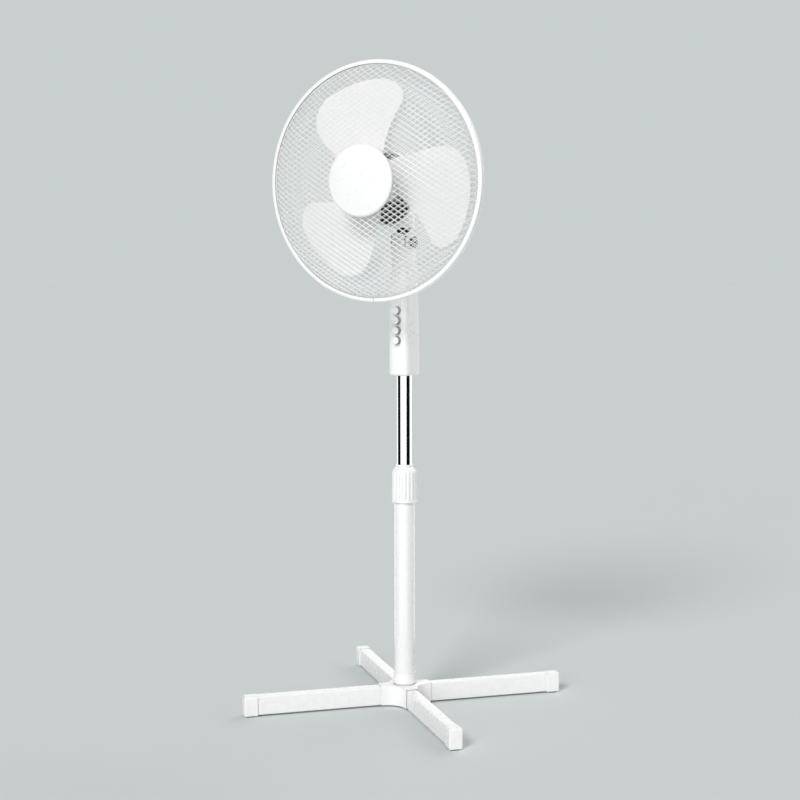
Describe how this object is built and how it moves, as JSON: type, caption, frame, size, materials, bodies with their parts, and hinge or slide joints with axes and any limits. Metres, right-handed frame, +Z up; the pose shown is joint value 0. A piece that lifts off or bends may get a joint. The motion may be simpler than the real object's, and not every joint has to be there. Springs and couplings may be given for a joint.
{
  "type": "pedestal fan",
  "caption": "Free-standing oscillating fan on a cross base, with a telescopic mast, a tilting head, push buttons and a round wire cage.",
  "frame": {"origin": "on the floor, under the mast, at the middle of the cross base", "axes": "+Z up along the mast; the fan blows towards -Y; +X is to the right of a person looking at the fan's front"},
  "size_m": [0.4544, 0.4544, 1.195],
  "materials": {
    "white_plastic": "smooth moulded white plastic",
    "blade_plastic": "thin moulded white plastic, slightly translucent",
    "white_paint": "white powder coat",
    "white_wire": "white coated steel wire",
    "grey_plastic": "grey moulded plastic",
    "dark_plastic": "dark moulded plastic",
    "rubber": "matt black rubber",
    "chrome": "polished chrome plating",
    "zinc_steel": "zinc plated steel",
    "motor_steel": "laminated electrical steel",
    "cast_aluminium": "die cast aluminium",
    "brass": "turned brass",
    "nylon": "natural nylon"
  },
  "bodies": {
    "base": {"base_hub": "white_plastic", "base_plate": "zinc_steel", "base_bolt": "zinc_steel", "tube_plug": "zinc_steel", "arm_front_right": "white_paint", "arm_rear_right": "white_paint", "arm_rear_left": "white_paint", "arm_front_left": "white_paint", "end_cap_front_right": "white_plastic", "end_cap_rear_right": "white_plastic", "end_cap_rear_left": "white_plastic", "end_cap_front_left": "white_plastic", "foot_pad_front_right": "rubber", "foot_pad_rear_right": "rubber", "foot_pad_rear_left": "rubber", "foot_pad_front_left": "rubber", "lower_tube": "white_paint", "tube_collet": "grey_plastic"},
    "lock_nut": {"height_lock_nut": "white_plastic"},
    "mast": {"inner_tube": "chrome", "guide_bush": "nylon", "pole_socket": "grey_plastic", "clamp_screw": "zinc_steel", "housing_front": "white_plastic", "housing_rear": "white_plastic", "housing_screw_lower": "zinc_steel", "housing_screw_upper": "zinc_steel", "switch_block": "dark_plastic", "cord_gland": "rubber", "tilt_fork": "grey_plastic", "tilt_bolt": "dark_plastic"},
    "button_1": {"button_1": "white_plastic"},
    "button_2": {"button_2": "white_plastic"},
    "button_3": {"button_3": "white_plastic"},
    "button_4": {"button_4": "white_plastic"},
    "neck": {"neck": "dark_plastic", "pivot_bush": "brass"},
    "link_rod": {"link_rod": "zinc_steel"},
    "head": {"gearbox_frame": "zinc_steel", "pivot_pin": "zinc_steel", "motor_front_bracket": "dark_plastic", "motor_rear_bracket": "cast_aluminium", "stator": "motor_steel", "capacitor": "dark_plastic", "motor_cover": "white_plastic", "cover_screw": "zinc_steel", "front_grille": "white_wire", "rear_grille": "white_wire", "grille_nut": "dark_plastic", "front_cap": "white_plastic", "guard_ring": "white_plastic", "ring_screw": "zinc_steel"},
    "rotor": {"rotor_core": "cast_aluminium", "motor_shaft": "zinc_steel", "worm": "brass", "fan_blade": "blade_plastic", "blade_nut": "white_plastic"},
    "worm_wheel": {"worm_wheel": "nylon"},
    "crank_gear": {"crank_gear": "nylon"},
    "oscillation_knob": {"oscillation_knob": "white_plastic"}
  },
  "joints": [
    {"name": "height_slide", "type": "slide", "parent": "base", "child": "mast", "axis": [0, 0, 1], "range_m": [-0.16, 0.08]},
    {"name": "lock_nut_turn", "type": "hinge", "parent": "base", "child": "lock_nut", "pos_m": [0, 0, 0.42], "axis": [0, 0, 1], "range_deg": [0, 180]},
    {"name": "button_1_press", "type": "slide", "parent": "mast", "child": "button_1", "axis": [0, 1, 0], "range_m": [0, 0.004], "stiffness_N_per_m": 200, "springref_m": -0.002},
    {"name": "button_2_press", "type": "slide", "parent": "mast", "child": "button_2", "axis": [0, 1, 0], "range_m": [0, 0.004], "stiffness_N_per_m": 200, "springref_m": -0.002},
    {"name": "button_3_press", "type": "slide", "parent": "mast", "child": "button_3", "axis": [0, 1, 0], "range_m": [0, 0.004], "stiffness_N_per_m": 200, "springref_m": -0.002},
    {"name": "button_4_press", "type": "slide", "parent": "mast", "child": "button_4", "axis": [0, 1, 0], "range_m": [0, 0.004], "stiffness_N_per_m": 200, "springref_m": -0.002},
    {"name": "head_tilt", "type": "hinge", "parent": "mast", "child": "neck", "pos_m": [0, -0.004, 0.872], "axis": [-1, 0, 0], "range_deg": [-8, 22]},
    {"name": "link_swing", "type": "hinge", "parent": "neck", "child": "link_rod", "pos_m": [0.0125, -0.008, 0.9135], "axis": [0, 0, 1], "range_deg": [-4, 4]},
    {"name": "head_swing", "type": "hinge", "parent": "neck", "child": "head", "pos_m": [0, -0.004, 0.98], "axis": [0, 0, 1], "range_deg": [-42, 42]},
    {"name": "blade_spin", "type": "hinge", "parent": "head", "child": "rotor", "pos_m": [0, -0.1, 0.98], "axis": [0, 1, 0], "continuous": true},
    {"name": "worm_wheel_turn", "type": "hinge", "parent": "head", "child": "worm_wheel", "pos_m": [0.01686, -0.004, 0.98], "axis": [0, 0, 1], "continuous": true},
    {"name": "crank_turn", "type": "hinge", "parent": "head", "child": "crank_gear", "pos_m": [0, 0.012, 0.93], "axis": [0, 0, 1], "continuous": true},
    {"name": "oscillation_knob_pull", "type": "slide", "parent": "head", "child": "oscillation_knob", "axis": [0, 0, 1], "range_m": [0, 0.008]}
  ],
  "couplings": [
    {"joint": "worm_wheel_turn", "follows": "blade_spin", "ratio": 0.05},
    {"joint": "crank_turn", "follows": "blade_spin", "ratio": -0.0125}
  ]
}
